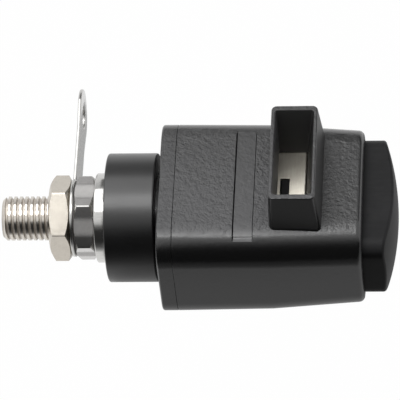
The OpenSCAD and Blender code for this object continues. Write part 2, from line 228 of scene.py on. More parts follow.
class ShaderTree:
    """A node tree of a material, a lamp or the world, built by code."""

    def __init__(self, owner):
        owner.use_nodes = True
        self.tree = owner.node_tree
        self.tree.nodes.clear()

    def node(self, kind, settings=None, inputs=None, output=0):
        """Adds a node with its settings, then the values or links of its sockets, and returns an output."""
        added = self.tree.nodes.new(kind)
        for key, value in (settings or {}).items():
            if key == "stops":
                self._set_stops(added.color_ramp, value)
            else:
                setattr(added, key, value)
        for key, value in (inputs or {}).items():
            if isinstance(value, Value):
                self.tree.links.new(value.socket, added.inputs[key])
            else:
                added.inputs[key].default_value = value
        return Value(self, added.outputs[output]) if len(added.outputs) else None

    @staticmethod
    def _set_stops(ramp, stops):
        while len(ramp.elements) < len(stops):
            ramp.elements.new(1)
        for element, (place, shade) in zip(ramp.elements, stops):
            element.position = place
            element.color = shade

    def place(self):
        """Coordinates in the object's own frame, in metres."""
        return self.node("ShaderNodeTexCoord", output="Object")

    def part(self, vector, axis):
        """One part of a vector."""
        return self.node("ShaderNodeSeparateXYZ", inputs={0: vector}, output="XYZ".index(axis))

    def facing(self, axis):
        """How far the surface faces along an axis of the object."""
        return self.part(self.node("ShaderNodeTexCoord", output="Normal"), axis)

    def along(self, axis):
        """One coordinate in the object's own frame, in metres."""
        return self.part(self.place(), axis)

    def noise(self, size, detail=3.0, roughness=0.5, stretch=None, seed=0.0):
        """Noise with features of about that size in metres, stretched along an axis where asked."""
        where = self.place()
        if stretch:
            where = self.node("ShaderNodeVectorMath", {"operation": "MULTIPLY"}, {0: where, 1: stretch})
        inputs = {"Vector": where, "W": seed, "Scale": 1 / size, "Detail": detail, "Roughness": roughness}
        return self.node("ShaderNodeTexNoise", {"noise_dimensions": "4D"}, inputs)

    def range(self, value, from_min, from_max, to_min=0.0, to_max=1.0):
        """Maps a range of a value smoothly to another range."""
        inputs = {0: value, 1: from_min, 2: from_max, 3: to_min, 4: to_max}
        return self.node("ShaderNodeMapRange", {"interpolation_type": "SMOOTHSTEP"}, inputs)

    def between(self, value, rise, fall):
        """One between two edges of a value, each from where it starts to where it ends."""
        return self.range(value, *rise) * self.range(value, *fall, 1.0, 0.0)

    def blend(self, factor, first, second):
        """Mixes two colours, which are the sockets 6 and 7 and the output 2 of the node."""
        return self.node("ShaderNodeMix", {"data_type": "RGBA"}, {0: factor, 6: first, 7: second}, output=2)

    def bump(self, height, depth):
        """Normal of a surface with that height, in shares of the depth in metres."""
        return self.node("ShaderNodeBump", inputs={"Strength": 1.0, "Distance": depth, "Height": height})

    def surface(self, inputs):
        """Ends a material with a Principled shader."""
        shader = self.node("ShaderNodeBsdfPrincipled", inputs=inputs)
        self.node("ShaderNodeOutputMaterial", inputs={"Surface": shader})


def shade(colour_value, factor):
    """A colour with alpha, made lighter or darker."""
    return (*(min(1.0, c * factor) for c in colour_value), 1.0)


def new_material(name):
    """A material and its shader tree."""
    material = bpy.data.materials.new(name)
    return material, ShaderTree(material)


def moulded_plastic(name, tone, side_roughness, face_roughness, grain_depth, band=None, fade=None):
    """Spark-eroded moulded plastic: mottled, its grain strongest on the wide face, with painted sheen there and painted
    light on a passage wall.
    """
    material, tree = new_material(name)
    cloud = tree.noise(2.4 * MM, seed=1.3)
    grain = tree.noise(0.55 * MM, detail=2, seed=4.1)
    fine = tree.noise(0.16 * MM, detail=2, seed=7.7)
    along, side, across = tree.along("X"), tree.along("Y"), tree.facing("X")

    # Grain of the wide face and the reach of its painted sheen, both weaker where it fades; the grain also weaker in
    # the band
    wide = tree.range(tree.facing("Z"), 0.855, 0.987)
    grain_and_sheen = wide * tree.range(along, *fade, 1.0, 0.18) if fade else wide
    finish = 0.5 * wide + 0.5 * grain_and_sheen
    relief = 0.06 + 0.94 * wide * finish
    if band:
        soft = 0.06 * MM
        inside = tree.between(along, *((edge - soft, edge + soft) for edge in band))
        relief = relief * (1.0 - 0.6 * inside)

    # Duller walls: the ends of the passage and of the funnel, and all faces across the stud
    outward = side * tree.facing("Y")
    passage_end = tree.range(outward, -4 * MM, -2 * MM, 1.0, 0.0)
    above = tree.range(tree.along("Z"), BODY_H / 2 - 0.3 * MM, BODY_H / 2 + 0.2 * MM)
    funnel_end = tree.range(outward, 6 * MM, 7.5 * MM) * above
    matt = finish + 1.7 * passage_end + funnel_end + tree.range(across * across, 0.5, 0.9, 0.0, 0.8)
    uneven = 0.24 * (cloud - 0.5) + 0.16 * (grain - 0.5)

    # Painted light in the base colour: the wide face paler than the sides over its real mottling, more so on the near
    # side and less on the far side, and a paler passage wall that faces the button
    mottle = tree.range(0.4 * cloud + 0.6 * grain, 0.3, 0.7)
    # Painted sheen over the mottling: paler base on the wide face, strongest at the near side and weakest at the far
    # side
    mottled_painted_sheen = grain_and_sheen * (0.4 + 0.6 * mottle) * tree.range(side, -8 * MM, 8 * MM, 1.75, 0.45)
    # Painted light: a paler base on the passage wall that faces the button, just before the jaw
    lit_passage_wall = tree.between(along, (X_JAW - 5 * MM, X_JAW - 4.5 * MM), (X_JAW - 1 * MM, X_JAW))
    deep, painted_sheen_tone, painted_wall_light = (shade(tone, factor) for factor in (0.8, 12.5, 26.0))
    base = tree.blend(lit_passage_wall * tree.range(across, 0.6, 0.9), tree.blend(mottled_painted_sheen, deep, painted_sheen_tone), painted_wall_light)
    tree.surface({
        "Base Color": base,
        "Roughness": side_roughness + (face_roughness - side_roughness) * matt + uneven * relief,
        "IOR": 1.75,
        "Normal": tree.bump((grain + 0.15 * fine - 0.575) * relief, grain_depth),
    })
    return material


def smooth_plastic(name, tone, roughness, index, gloss, painted_near_shade=1.0):
    """Smoother moulded plastic with faint flow marks, fine rub marks and painted shade on its near side."""
    material, tree = new_material(name)
    cloud = tree.noise(3.2 * MM, seed=2.2)
    rub = tree.noise(0.5 * MM, detail=4, roughness=0.6, stretch=(0.15, 1.0, 1.0), seed=5.6)
    fine = tree.noise(0.14 * MM, detail=2, seed=8.4)
    base = tree.blend(tree.range(0.6 * cloud + 0.4 * rub, 0.3, 0.7), shade(tone, 0.82), shade(tone, 1.18))
    # Painted shade: a darker base on the faces that look towards the front
    base = tree.blend(tree.range(tree.facing("Y"), -1.0, -0.75, 1.0, 0.0), base, shade(tone, painted_near_shade))
    tree.surface({
        "Base Color": base,
        "Roughness": roughness + 0.10 * (cloud - 0.5) + 0.08 * (rub - 0.5),
        "IOR": index,
        "Specular IOR Level": gloss,
        "Normal": tree.bump(0.5 * rub + 0.5 * fine, 0.006 * MM),
    })
    return material


def plated_metal(name, tone, roughness, wave_depth, stretch=None, satin=None):
    """Plated metal: faint tint changes, fine tool marks, a slightly uneven face, and a satin middle where asked."""
    material, tree = new_material(name)
    cloud = tree.noise(1.6 * MM, seed=3.1)
    marks = tree.noise(0.22 * MM, detail=4, roughness=0.6, stretch=stretch, seed=6.3)
    base = tree.blend(tree.range(0.5 * cloud + 0.5 * marks, 0.3, 0.7), shade(tone, 0.90), shade(tone, 1.06))
    finish = roughness + 0.35 * roughness * (cloud - 0.5) + 0.25 * roughness * (marks - 0.5)
    if satin:
        across = tree.node("ShaderNodeVectorMath", {"operation": "MULTIPLY"}, {0: tree.place(), 1: (0, 1, 1)})
        reach = tree.node("ShaderNodeVectorMath", {"operation": "LENGTH"}, {0: across}, output="Value")
        finish = finish + tree.range(reach, *satin, 0.45, 0.0)
    tree.surface({
        "Base Color": base,
        "Metallic": 1.0,
        "Roughness": finish,
        "Normal": tree.bump(0.7 * cloud + 0.3 * marks, wave_depth),
    })
    return material


def outline(w, h, r, corner_steps=12, side_steps=(1, 1)):
    """Points and outward normals round a rounded rectangle: (a, b, normal a, normal b)."""
    half_a, half_b = w / 2 - r, h / 2 - r
    centres = [(half_a, half_b), (-half_a, half_b), (-half_a, -half_b), (half_a, -half_b)]
    points = []
    for quarter, (a, b) in enumerate(centres):
        for i in range(corner_steps + 1):
            turn = QUARTER * (quarter + i / corner_steps)
            na, nb = math.cos(turn), math.sin(turn)
            points.append((a + r * na, b + r * nb, na, nb))
        next_a, next_b = centres[(quarter + 1) % 4]
        steps = side_steps[quarter % 2]
        for i in range(1, steps):
            t = i / steps
            points.append((a + t * (next_a - a) + r * na, b + t * (next_b - b) + r * nb, na, nb))
    return points


def cross_ring(x, w, h, r, corner_steps=12):
    """Ring across the stud at x."""
    return [(x, a, b) for a, b, _, _ in outline(w, h, r, corner_steps)]


def level_ring(z, x0, x1, w, r):
    """Level ring from x0 to x1 at height z."""
    middle = (x0 + x1) / 2
    return [(middle + a, b, z) for a, b, _, _ in outline(x1 - x0, w, r, corner_steps=10)]


def round_ring(x, r, steps):
    """Circle about the stud at x."""
    return [(x, r * math.cos(TURN * i / steps), r * math.sin(TURN * i / steps)) for i in range(steps)]


def arc(steps):
    """Angles from 0 to a quarter turn."""
    return [QUARTER * i / steps for i in range(steps + 1)]


def rounding(r, steps):
    """Pairs of steps round an edge: the first grows from 0 to r while the second shrinks from r to 0."""
    return [(r * (1 - math.cos(a)), r * (1 - math.sin(a))) for a in arc(steps)]


def link(name, data):
    """New object in the scene."""
    added = bpy.data.objects.new(name, data)
    bpy.context.scene.collection.objects.link(added)
    return added


def clean(mesh, nearest=NEAREST):
    """Joins points that are nearer than that, and turns the normals out."""
    work = bmesh.new()
    work.from_mesh(mesh)
    bmesh.ops.remove_doubles(work, verts=work.verts, dist=nearest)
    bmesh.ops.recalc_face_normals(work, faces=work.faces)
    work.to_mesh(mesh)
    work.free()


def new_object(name, points, faces):
    """Mesh object in the scene with its normals facing out."""
    mesh = bpy.data.meshes.new(name)
    mesh.from_pydata(points, [], faces)
    clean(mesh)
    return link(name, mesh)


def skin(name, rings, closed=False):
    """Skin over rings with the same number of points, capped at both ends or closed on itself."""
    count = len(rings[0])
    faces = []
    last = len(rings) if closed else len(rings) - 1
    for i in range(last):
        a, b = i * count, (i + 1) % len(rings) * count
        for k in range(count):
            m = (k + 1) % count
            faces.append((a + k, a + m, b + m, b + k))
    if not closed:
        faces.append(tuple(range(count)))
        faces.append(tuple(range((len(rings) - 1) * count, len(rings) * count)))
    return new_object(name, [p for ring in rings for p in ring], faces)


def turned(name, profile, steps=128, closed=True):
    """Turned piece about the stud from (x, radius) points."""
    return skin(name, [round_ring(x, r, steps) for x, r in profile], closed)


def rounded_tube(name, x0, x1, outer_r, edges, bore):
    """Turned piece from x0 to x1 with rounded outer edges; the points of its bore lead back to x0."""
    first, last = edges
    outside = [(x0 + b, outer_r - a) for a, b in reversed(first)] + [(x1 - b, outer_r - a) for a, b in last]
    return turned(name, outside + bore, steps=160)


def drill(name, x0, x1, r, steps=64):
    """Round cutter along the stud that comes out at both ends."""
    return turned(name, [(x0 - CUT, r), (x1 + CUT, r)], steps, closed=False)


def prism(name, section, y0, y1):
    """Section of (x, z) points drawn along Y."""
    return skin(name, [[(x, y, z) for x, z in section] for y in (y0, y1)])


def block(name, x0, x1, half_w, z0, z1):
    """Box between two places along the stud and two heights, centred across it."""
    return prism(name, [(x0, z0), (x1, z0), (x1, z1), (x0, z1)], -half_w, half_w)


def pair(name, x0, x1, half_w, z0, z1):
    """Box above the stud and its mirror image below."""
    return [block(name, x0, x1, half_w, z0, z1), block(name, x0, x1, half_w, -z1, -z0)]


def bar(name, x0, x1, w, h, r, corner_steps=12):
    """Straight bar along the stud with rounded corners."""
    return skin(name, [cross_ring(x, w, h, r, corner_steps) for x in (x0, x1)])


def evaluated(piece):
    """New mesh of a piece as its modifiers leave it."""
    view = bpy.context.evaluated_depsgraph_get()
    return bpy.data.meshes.new_from_object(piece.evaluated_get(view))


def settle(piece):
    """Applies the modifiers of a piece to its mesh."""
    mesh = evaluated(piece)
    old = piece.data
    piece.modifiers.clear()
    piece.data = mesh
    mesh.name = piece.name
    bpy.data.meshes.remove(old)


def combine(piece, operation, tools):
    """Joins tools to a piece, or cuts them from it, and deletes them."""
    for tool in tools:
        modifier = piece.modifiers.new("combine", "BOOLEAN")
        modifier.operation = operation
        modifier.solver = "EXACT"
        modifier.object = tool
        settle(piece)
        bpy.data.objects.remove(tool)


def break_edges(piece, width):
    """Rounds the sharp edges of a piece."""
    modifier = piece.modifiers.new("edges", "BEVEL")
    modifier.width = width
    modifier.segments = 2
    modifier.limit_method = "ANGLE"
    modifier.angle_limit = math.radians(40)
    modifier.use_clamp_overlap = True
    settle(piece)


def dress(piece, material, node, body, smooth=32, weighted=True):
    """Shades a piece, gives it its finish, and lets it stand for a CAD node on a body."""
    work = bmesh.new()
    work.from_mesh(piece.data)
    bmesh.ops.dissolve_degenerate(work, edges=work.edges, dist=NEAREST)
    work.to_mesh(piece.data)
    work.free()
    piece.data.materials.clear()
    piece.data.materials.append(material)
    for face in piece.data.polygons:
        face.use_smooth = True
    piece.data.set_sharp_from_angle(angle=math.radians(smooth))
    if weighted:
        modifier = piece.modifiers.new("normals", "WEIGHTED_NORMAL")
        modifier.keep_sharp = True
        modifier.weight = 80
    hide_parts(node)
    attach(piece, body)


def draft_at(sizes, x):
    """How far the draft has drawn a side of the housing in at x."""
    return max(0.0, x - X_SEAM) * math.tan(sizes.draft)


def body_ring(sizes, x, inset):
    """Section of the body at x, drawn in from its outline by inset."""
    drawn = draft_at(sizes, min(x, sizes.taper_start))
    past = max(0.0, x - sizes.taper_start) / (X_END - sizes.taper_start)
    w = BODY_W - 2 * (drawn + past * sizes.side_taper + inset)
    h = BODY_H - 2 * (drawn + past * sizes.face_taper + inset)
    return cross_ring(x, w, h, sizes.corner_r - inset, corner_steps=24)


class TERMINAL_OT_housing(Operator):
    """Builds the moulded housing with its wire funnel and plain band"""

    bl_idname = "terminal.housing"
    bl_label = "Housing"

    taper_soft = 0.5 * MM
    funnel_root = 1.5 * MM
    fade_len = 3 * MM
    far_turns = (74, 78, 84, 90)
    near_turns = (90, 95, 100, 105, 110, 115, 119, 123, 127)

    def execute(self, context):
        sizes = context.scene.terminal_sizes
        shell = self.shell(sizes)
        combine(shell, "UNION", [self.funnel(sizes)])
        combine(shell, "DIFFERENCE", [self.cavity(sizes), self.passage(sizes), *self.band(sizes)])
        tone = context.scene.terminal_colours.housing
        material = moulded_plastic(
            "housing_plastic", tone, side_roughness=0.21, face_roughness=0.55, grain_depth=0.24 * MM,
            band=(sizes.band_x, sizes.band_x + sizes.band_w), fade=(X_JAW, X_JAW + self.fade_len))
        dress(shell, material, "housing", "terminal")
        return {"FINISHED"}

    def shell(self, sizes):
        """Outer skin, from the seam over the soft start of the taper to the rounded end."""
        soft = self.taper_soft
        rings = [body_ring(sizes, X_SEAM + a, b) for a, b in rounding(sizes.seam_c, 2)]
        rings += [body_ring(sizes, sizes.taper_start + step, 0.0) for step in (-soft, 0.0, soft)]
        rings += [body_ring(sizes, X_END - b, a) for a, b in rounding(sizes.end_r, 6)]
        return skin("housing_shell", rings)

    def funnel(self, sizes):
        """Solid funnel, from inside the wall to the rounded rim."""
        x0 = X_JAW - sizes.passage_len - sizes.rim_side
        x1 = X_JAW + sizes.mouth_flare + sizes.rim_side

        def ring(z, inset):
            drop = MOUTH_Z - z
            start = x0 - drop * math.tan(sizes.funnel_base) + inset
            end = x1 + drop * math.tan(sizes.funnel_button) - inset
            w = sizes.mouth_w + 2 * (drop * math.tan(sizes.funnel_end) - inset)
            return level_ring(z, start, end, w, sizes.funnel_r - inset)

        rings = [ring(BODY_H / 2 - self.funnel_root, 0.0)]
        rings += [ring(MOUTH_Z - b, a) for a, b in rounding(sizes.rim_r, 4)]
        return skin("funnel", rings)

    @staticmethod
    def cavity(sizes):
        """Room for the clamp and the button, with a rounded edge at the button."""
        w = BUTTON_W + 2 * sizes.button_gap
        h = BUTTON_H + 2 * sizes.button_gap
        r = sizes.button_r + sizes.button_gap

        def ring(x, grow):
            return cross_ring(x, w + 2 * grow, h + 2 * grow, r + grow)

        rings = [ring(X_SEAM - CUT, 0.0)]
        rings += [ring(X_END - b, a) for a, b in rounding(sizes.lip_r, 3)]
        rings.append(ring(X_END + CUT, sizes.lip_r))
        return skin("cavity", rings)

    @staticmethod
    def passage(sizes):
        """Passage of the wire, straight on the stud's side and flared on the jaw's side."""
        floor_z = BUTTON_H / 2 + sizes.button_gap
        x0 = X_JAW - sizes.passage_len
        r = sizes.funnel_r / 2

        def ring(z, grow):
            rise = max(0.0, min(1.0, (z - floor_z) / (MOUTH_Z - floor_z)))
            x1 = X_JAW + rise * sizes.mouth_flare
            w = sizes.passage_w + 2 * rise * sizes.end_flare
            return level_ring(z, x0 - grow, x1 + grow, w + 2 * grow, r + grow)

        rings = [ring(floor_z - CUT, 0.0), ring(floor_z, 0.0)]
        rings += [ring(MOUTH_Z - b, a) for a, b in rounding(sizes.lip_r, 3)]
        rings.append(ring(MOUTH_Z + CUT, sizes.lip_r))
        return skin("passage", rings)

    def band(self, sizes):
        """Shallow plain band across the wide face and a V-groove along each of its edges, the second one finer."""
        start, end = sizes.band_x, sizes.band_x + sizes.band_w
        groove = sizes.band_depth + sizes.groove_depth
        return (
            self.channel(sizes, start, end, sizes.band_depth),
            self.channel(sizes, start, start + sizes.groove_w, groove, pointed=True),
            self.channel(sizes, end - sizes.groove_w / 2, end, groove, pointed=True),
        )

    def channel(self, sizes, start, end, depth, pointed=False):
        """Cutter over the wide face that runs out on its two corners, further down on the near one."""
        drawn = draft_at(sizes, end)
        r = sizes.corner_r
        y, z = BODY_W / 2 - drawn - r, BODY_H / 2 - drawn - r
        turns = [(y, degrees) for degrees in self.far_turns] + [(-y, degrees) for degrees in self.near_turns]
        middle = (start + end) / 2
        rings = []
        for centre, degrees in turns:
            floor = r if degrees in (self.far_turns[0], self.near_turns[-1]) else r - depth
            bottom = [(end, r), (middle, floor), (start, r)] if pointed else [(end, floor), (start, floor)]
            a, b = math.cos(math.radians(degrees)), math.sin(math.radians(degrees))
            section = [(start, r + CUT), (end, r + CUT), *bottom]
            rings.append([(x, centre + reach * a, z + reach * b) for x, reach in section])
        return skin("channel", rings)


class TERMINAL_OT_base_plate(Operator):
    """Builds the base plate with its spigot, plug and square seat"""

    bl_idname = "terminal.base_plate"
    bl_label = "Base plate"

    plug_start = 1 * MM
    plug_clear = 0.05 * MM
    spigot_r = 5.9 * MM
    seat_side = 8.5 * MM
    seat_depth = 1.6 * MM

    def execute(self, context):
        sizes = context.scene.terminal_sizes
        rings = [body_ring(sizes, a, b) for a, b in rounding(sizes.panel_edge_r, 5)]
        rings += [body_ring(sizes, X_SEAM - b, a) for a, b in rounding(sizes.seam_c, 2)]
        plate = skin("base_plate_moulding", rings)
        grow = sizes.button_gap - self.plug_clear
        plug = bar("plug", self.plug_start, X_SEAT, BUTTON_W + 2 * grow, BUTTON_H + 2 * grow, sizes.button_r + grow)
        spigot = turned("spigot", [(X_SPIGOT, self.spigot_r), (self.plug_start, self.spigot_r)], closed=False)
        combine(plate, "UNION", [plug, spigot])
        half = self.seat_side / 2
        seat = block("seat", X_SEAT - self.seat_depth, X_SEAT + CUT, half, -half, half)
        combine(plate, "DIFFERENCE", [drill("bore", X_SPIGOT, X_SEAT, CLEAR_R, steps=128), seat])
        tone = context.scene.terminal_colours.housing
        material = moulded_plastic(
            "base_plate_plastic", tone, side_roughness=0.21, face_roughness=0.58, grain_depth=0.20 * MM)
        dress(plate, material, "base_plate", "terminal")
        return {"FINISHED"}


class TERMINAL_OT_button(Operator):
    """Builds the push button with its dome, its hollow and its two arms"""

    bl_idname = "terminal.button"
    bl_label = "Push button"

    x_skirt = 23.35 * MM
    skirt_r = 0.15 * MM
    x_cap = 28.145 * MM
    wall = 1.2 * MM
    arm_w = 4.3 * MM
    arm_bottom = 3.1 * MM
    arm_top = 4.9 * MM
    arm_root = 0.5 * MM
    catch_len = 1.05 * MM
    catch_top = 5.15 * MM
    catch_slope = 0.167 * MM
    edge_steps = 6
    dome_rings = 14

    def execute(self, context):
        sizes = context.scene.terminal_sizes
        cap = self.cap(sizes)
        inner = (BUTTON_W - 2 * self.wall, BUTTON_H - 2 * self.wall, sizes.button_r - self.wall)
        combine(cap, "DIFFERENCE", [bar("hollow", self.x_skirt - CUT, self.x_cap, *inner)])
        combine(cap, "UNION", [self.arm(1), self.arm(-1)])
        tone = context.scene.terminal_colours.button
        # The button's near side darkened with painted shade
        material = smooth_plastic("button_plastic", tone, roughness=0.45, index=1.5, gloss=0.12, painted_near_shade=0.15)
        dress(cap, material, "push_button", "button")
        return {"FINISHED"}

    def cap(self, sizes):
        """Solid cap: straight sides, a rounded edge and a spherical dome."""
        around = outline(BUTTON_W, BUTTON_H, sizes.button_r, corner_steps=10, side_steps=(14, 8))
        edge_r, dome_r = sizes.button_edge_r, sizes.dome_r

        def dome(a, b):
            return X_APEX - dome_r + math.sqrt(dome_r ** 2 - a ** 2 - b ** 2)

        rings = []
        for rise, inset in rounding(self.skirt_r, 2):
            rings.append([(self.x_skirt + rise, a - na * inset, b - nb * inset) for a, b, na, nb in around])
        for j in range(self.edge_steps + 1):
            ring = []
            for a, b, na, nb in around:
                slope = math.atan((a * na + b * nb) / math.sqrt(dome_r ** 2 - a ** 2 - b ** 2))
                touch = edge_r * (1 - math.sin(slope))
                centre_x = dome(a - na * touch, b - nb * touch) - edge_r * math.cos(slope)
                turn = (QUARTER - slope) * j / self.edge_steps
                inset = edge_r * (1 - math.cos(turn))
                ring.append((centre_x + edge_r * math.sin(turn), a - na * inset, b - nb * inset))
            rings.append(ring)
        brim = rings[-1]
        for i in range(1, self.dome_rings):
            share = 1 - i / self.dome_rings
            rings.append([(dome(share * a, share * b), share * a, share * b) for _, a, b in brim])
        return skin("button_cap", rings)

    def arm(self, side):
        """Arm on one side of the shank, with the catch that sits in the stirrup's window."""
        x_root, x_step = self.x_cap + self.arm_root, X_CATCH + self.catch_len
        section = [
            (X_CATCH, self.arm_bottom), (x_root, self.arm_bottom), (x_root, self.arm_top),
            (x_step, self.arm_top), (x_step, self.catch_top),
            (X_CATCH + self.catch_slope, self.catch_top), (X_CATCH, self.catch_top - self.catch_slope),
        ]
        return prism("arm", [(x, side * z) for x, z in section], -self.arm_w / 2, self.arm_w / 2)


class TERMINAL_OT_stirrup(Operator):
    """Builds the bent sheet-metal stirrup with its windows, slots and hole"""

    bl_idname = "terminal.stirrup"
    bl_label = "Clamp stirrup"

    sheet_t = 0.5 * MM
    bend_inner_r = 0.1 * MM
    bend_outer_r = 0.3 * MM
    window_len = 1.25 * MM
    window_w = 4.5 * MM
    window_back = 2.9 * MM
    slot_bottom = 3.0 * MM
    slot_overcut = 0.1 * MM
    hole_r = 2.2 * MM
    edge_r = 0.06 * MM

    def execute(self, context):
        sheet = prism("stirrup_sheet", self.section(), -STIRRUP_W / 2, STIRRUP_W / 2)
        half_w, half_len = self.window_w / 2, self.window_len / 2
        x_window = X_WEB - self.window_back
        window = block("window", x_window - half_len, x_window + half_len, half_w, -BODY_H, BODY_H)
        x_inner, slot_top = X_WEB - self.sheet_t, STIRRUP_H / 2 - self.sheet_t
        slots = pair("slot", x_inner - self.slot_overcut, X_WEB + CUT, half_w, self.slot_bottom, slot_top)
        combine(sheet, "DIFFERENCE", [window, *slots, drill("hole", x_inner, X_WEB, self.hole_r)])
        break_edges(sheet, self.edge_r)
        tone = context.scene.terminal_colours.stirrup
        material = plated_metal(
            "stirrup_tin", tone, roughness=0.37, wave_depth=0.002 * MM, stretch=(1.0, 0.12, 1.0))
        dress(sheet, material, "clamp_stirrup", "button")
        return {"FINISHED"}

    def section(self):
        """Section of the bent sheet: outer line from leg to leg, then the inner line back."""

        def line(depth, r):
            bend_x, bend_z = X_WEB - depth - r, STIRRUP_H / 2 - depth - r
            upper = [(bend_x + r * math.sin(a), bend_z + r * math.cos(a)) for a in arc(8)]
            return [(X_LEG, bend_z + r), *upper, *[(x, -z) for x, z in reversed(upper)], (X_LEG, -bend_z - r)]

        return line(0.0, self.bend_outer_r) + list(reversed(line(self.sheet_t, self.bend_inner_r)))


class TERMINAL_OT_spring(Operator):
    """Builds the coil spring round the shank at its rest length; the real spring shortens as the button goes in"""

    bl_idname = "terminal.spring"
    bl_label = "Clamp spring"

    wire_r = 0.35 * MM
    coil_r = 2.55 * MM
    turns = 8
    sides = 14
    steps_per_turn = 48
    close_pitch = 0.77 * MM
    travel = 3.8 * MM

    def execute(self, context):
        x0, x1 = ends("clamp_spring")
        open_pitch = (x1 - x0 - 2 * self.wire_r - 2 * self.close_pitch) / (self.turns - 2)
        rings = []
        for i in range(self.turns * self.steps_per_turn + 1):
            turn = i / self.steps_per_turn
            x = x0 + self.wire_r + min(turn, 1) * self.close_pitch
            x += max(0, min(turn, self.turns - 1) - 1) * open_pitch + max(0, turn - self.turns + 1) * self.close_pitch
            ring = []
            for k in range(self.sides):
                b = TURN * k / self.sides
                r = self.coil_r + self.wire_r * math.cos(b)
                ring.append((x + self.wire_r * math.sin(b), r * math.cos(TURN * turn), r * math.sin(TURN * turn)))
            rings.append(ring)
        coil = skin("spring_coil", rings)
        tone = context.scene.terminal_colours.spring
        material = plated_metal("spring_wire", tone, roughness=0.30, wave_depth=0.003 * MM)
        dress(coil, material, "clamp_spring", "terminal", weighted=False)
        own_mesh(coil)
        return {"FINISHED"}


class TERMINAL_OT_jaw(Operator):
    """Builds the fixed jaw with its notches and hole"""

    bl_idname = "terminal.jaw"
    bl_label = "Contact jaw"

    corner_r = 1.1 * MM
    notch_w = 4.9 * MM
    notch_z = 2.8 * MM
    hole_r = 1.525 * MM
    edge_r = 0.12 * MM

    def execute(self, context):
        jaw = bar("jaw_block", X_JAW, X_JAW_BACK, JAW_W, JAW_H, self.corner_r, corner_steps=6)
        notches = pair("notch", X_JAW - CUT, X_JAW_BACK + CUT, self.notch_w / 2, self.notch_z, BODY_H)
        combine(jaw, "DIFFERENCE", [*notches, drill("hole", X_JAW, X_JAW_BACK, self.hole_r)])
        break_edges(jaw, self.edge_r)
        tone = context.scene.terminal_colours.bright_nickel
        material = plated_metal("jaw_nickel", tone, roughness=0.22, wave_depth=0.005 * MM)
        dress(jaw, material, "contact_jaw", "terminal")
        return {"FINISHED"}


class TERMINAL_OT_stud(Operator):
    """Builds the stud with its cut thread, square flange, shank and rivet head"""

    bl_idname = "terminal.stud"
    bl_label = "Threaded stud"

    pitch_r = 2.756 * MM
    tip_c = 0.5 * MM
    shank_r = 2 * MM
    rivet_r = 1.5 * MM
    head_r = 2 * MM
    head_edge = 0.35 * MM
    flange_half = 4.2 * MM
    flange_t = 1.6 * MM
    flange_root = 0.2 * MM
    # Depth and start in shares of the pitch, crest and root in shares of the profile
    thread_depth = 0.45
    thread_start = 0.515
    crest_share = 0.48
    root_share = 0.26
    # Run-out of the thread inside the outer nut, and where the plain stretch begins
    runout = 0.4 * MM
    runout_slope = 0.55
    neck = 0.45 * MM
    satin_reach = (2.70 * MM, 2.88 * MM)
    sides = 120
    rows_per_pitch = 20

    def execute(self, context):
        sizes = context.scene.terminal_sizes
        stud = self.turned_part(sizes)
        half = self.flange_half
        combine(stud, "UNION", [block("flange", X_SEAT - self.flange_t, X_SEAT, half, -half, half)])
        tone = context.scene.terminal_colours.bright_nickel
        material = plated_metal(
            "stud_nickel", tone, roughness=0.12, wave_depth=0.004 * MM, stretch=(0.3, 1.0, 1.0), satin=self.satin_reach)
        dress(stud, material, "threaded_stud", "terminal", smooth=50, weighted=False)
        return {"FINISHED"}

    def thread_radius(self, sizes, x, turn):
        """Radius of the cut thread at x, at a share of a turn round the stud."""
        phase = (x / sizes.thread_pitch - turn - self.thread_start) % 1.0
        flank = 1 - self.crest_share - self.root_share
        share = min(1.0, max(0.0, (abs(2 * phase - 1) - self.root_share) / flank))
        return sizes.thread_r - self.thread_depth * sizes.thread_pitch * (1 - share)

    def turned_part(self, sizes):
        """Stud body: chamfered tip, thread, engaged stretch, shank and rivet head."""
        rings = []
        span = X_LUG_NUT + self.runout - X_TIP
        count = round(span / sizes.thread_pitch * self.rows_per_pitch)
        step = span / count
        for i in range(count + 1):
            x = X_TIP + i * step
            tip_limit = sizes.thread_r - self.tip_c + (x - X_TIP)
            nut_limit = sizes.thread_r - max(0.0, x - X_LUG_NUT) * self.runout_slope
            ring = []
            for k in range(self.sides):
                turn = k / self.sides
                r = min(self.thread_radius(sizes, x, turn), tip_limit, nut_limit)
                ring.append((x, r * math.cos(TURN * turn), r * math.sin(TURN * turn)))
            rings.append(ring)
        x_shank = X_SEAT - self.flange_t + self.flange_root
        profile = [
            (X_LUG_NUT + self.neck, self.pitch_r), (x_shank, self.pitch_r), (x_shank, self.shank_r),
            (X_JAW, self.shank_r), (X_JAW, self.rivet_r), (X_JAW_BACK, self.rivet_r), (X_JAW_BACK, self.head_r),
            (X_JAW_BACK + self.head_edge, self.head_r), (X_RIVET, self.head_r / 2),
        ]
        rings += [round_ring(x, r, self.sides) for x, r in profile]
        return skin("stud_thread", rings)


class TERMINAL_OT_collar(Operator):
    """Builds the insulating collar with its counterbore"""

    bl_idname = "terminal.collar"
    bl_label = "Insulating collar"

    back_r = 0.2 * MM
    front_r = 0.25 * MM
    recess_r = 6.1 * MM

    def execute(self, context):
        recess = [(X_COLLAR_FRONT, self.recess_r), (X_SPIGOT, self.recess_r)]
        edges = (rounding(self.back_r, 5), rounding(self.front_r, 6))
        bore = [*recess, (X_SPIGOT, CLEAR_R), (X_COLLAR, CLEAR_R)]
        collar = rounded_tube("collar_cup", X_COLLAR, X_COLLAR_FRONT, COLLAR_R, edges, bore)
        tone = context.scene.terminal_colours.collar
        material = smooth_plastic("collar_plastic", tone, roughness=0.31, index=1.65, gloss=0.5)
        dress(collar, material, "insulating_collar", "terminal")
        return {"FINISHED"}


